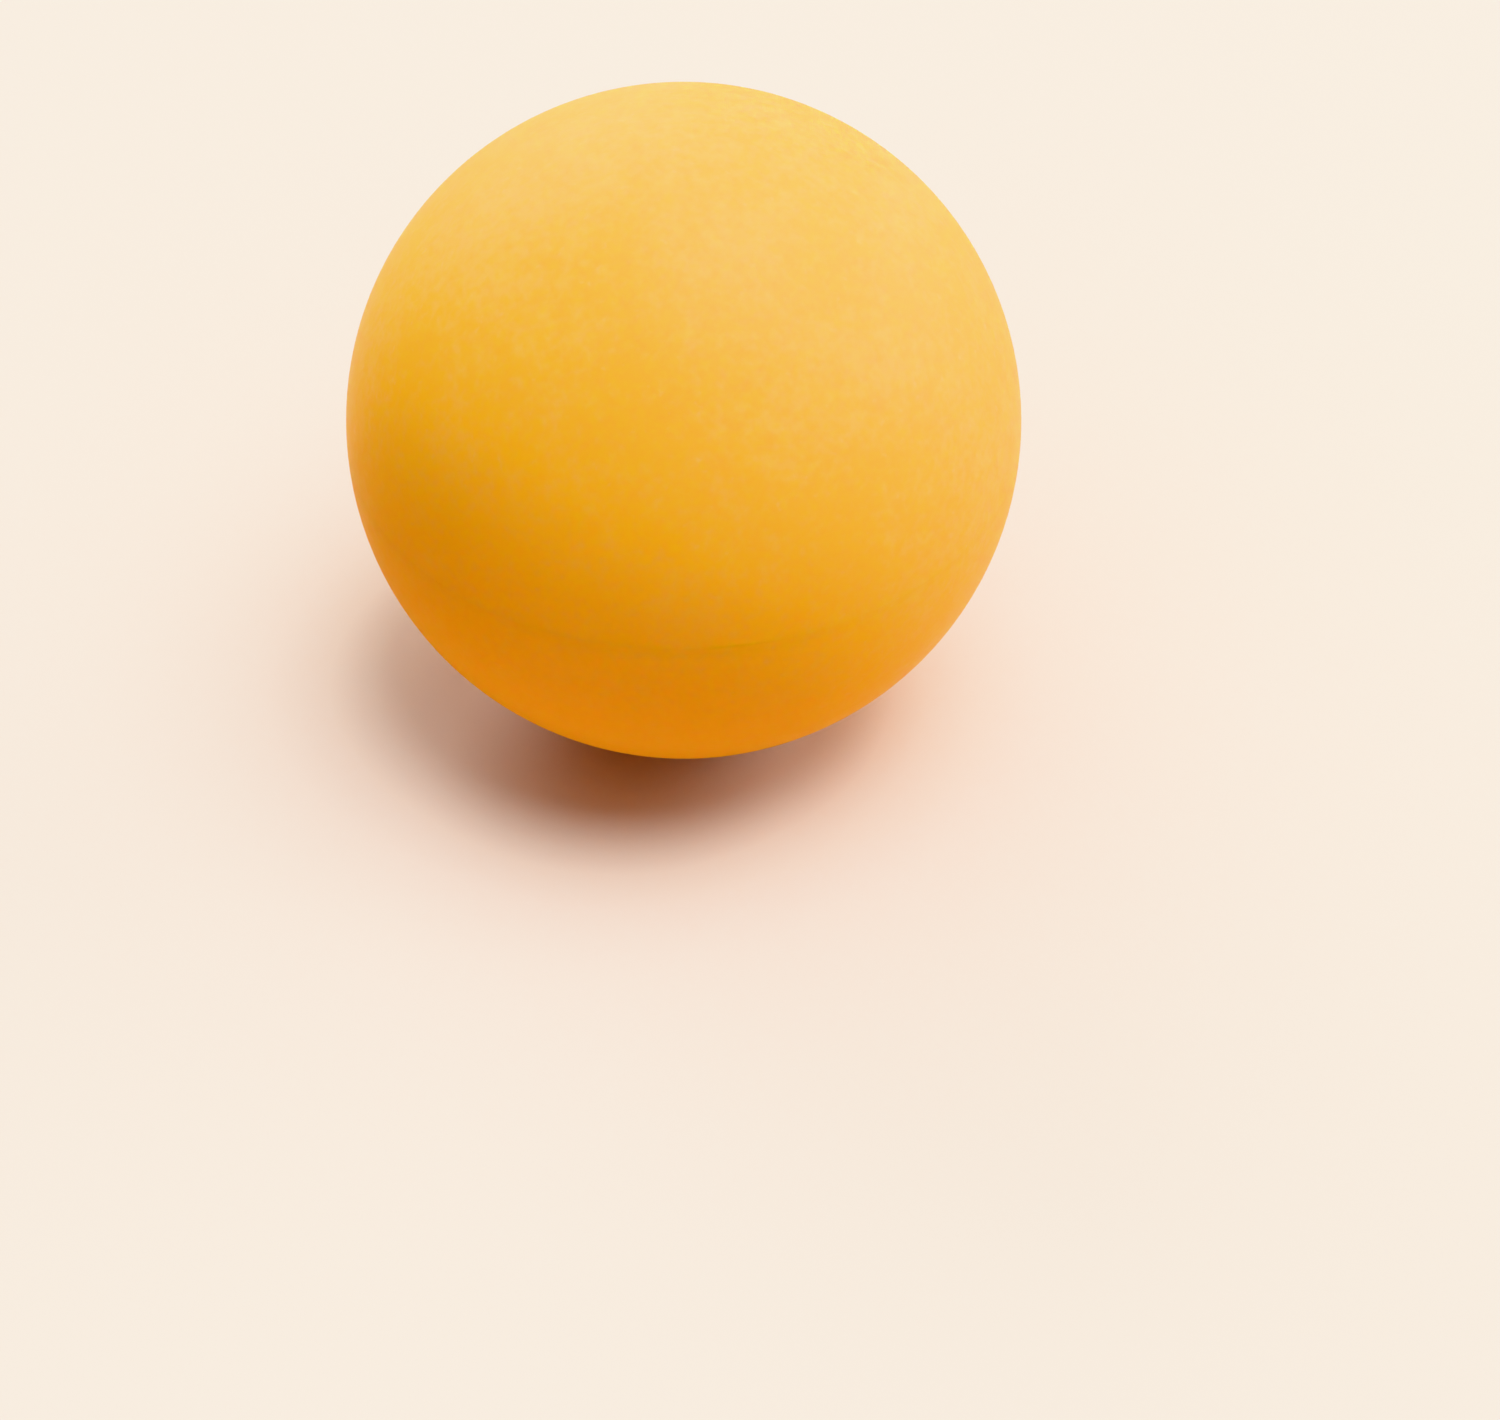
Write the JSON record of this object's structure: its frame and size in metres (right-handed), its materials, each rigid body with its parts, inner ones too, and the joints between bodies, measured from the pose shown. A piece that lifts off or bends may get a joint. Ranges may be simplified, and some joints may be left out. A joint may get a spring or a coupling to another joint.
{
  "type": "table tennis ball",
  "caption": "Hollow matt plastic ball for table tennis, made of half shells joined by a cemented tongue-and-rebate seam; light, stiff and made to bounce.",
  "frame": {"origin": "centre of the ball", "axes": "+Z along the axis of both half shells, from the lower shell to the upper one; the seam lies in the XY plane; X and Y are any two directions in it"},
  "size_m": [0.04, 0.04, 0.04],
  "materials": {
    "shell_plastic": "matte",
    "seam_cement": "matte"
  },
  "bodies": {
    "root": {"upper_half_shell": "shell_plastic", "lower_half_shell": "shell_plastic", "seam_cement_ring": "seam_cement"}
  },
  "joints": []
}
